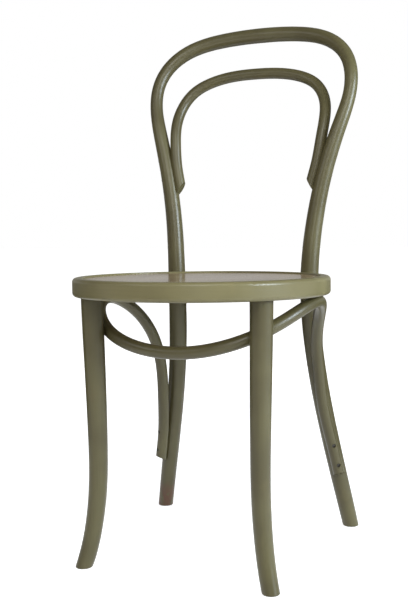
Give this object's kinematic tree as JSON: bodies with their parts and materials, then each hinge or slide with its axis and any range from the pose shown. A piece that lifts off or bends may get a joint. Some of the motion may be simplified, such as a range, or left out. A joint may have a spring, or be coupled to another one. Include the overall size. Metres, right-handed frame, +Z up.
{
  "type": "bentwood bistro chair",
  "caption": "Bentwood bistro chair with a hoop back, an inner arch, a round seat and a looped leg brace, in olive brown paint.",
  "frame": {"origin": "centre of the chair's bounding box, on the floor", "axes": "+Z up, -Y to the sitter's front, +X to the right as seen from in front"},
  "size_m": [0.41, 0.5154, 0.9014],
  "materials": {
    "painted_wood": "satin olive brown paint over fine grain",
    "painted_ring": "satin olive brown paint over fine grain",
    "seat_veneer": "satin grey brown paint over moulded veneer",
    "dark_steel": "darkened steel"
  },
  "bodies": {
    "root": {"back_hoop": "painted_wood", "inner_arch": "painted_wood", "seat_ring": "painted_ring", "seat_panel": "seat_veneer", "front_leg_left": "painted_wood", "front_leg_right": "painted_wood", "leg_brace": "painted_wood", "arch_plugs": "painted_wood", "back_bolts": "dark_steel", "back_washers": "dark_steel", "back_nuts": "dark_steel", "leg_lock_screws": "dark_steel", "brace_end_screws": "dark_steel", "brace_ring_screws": "dark_steel", "brace_leg_screws": "dark_steel", "arch_screws": "dark_steel"}
  },
  "joints": []
}
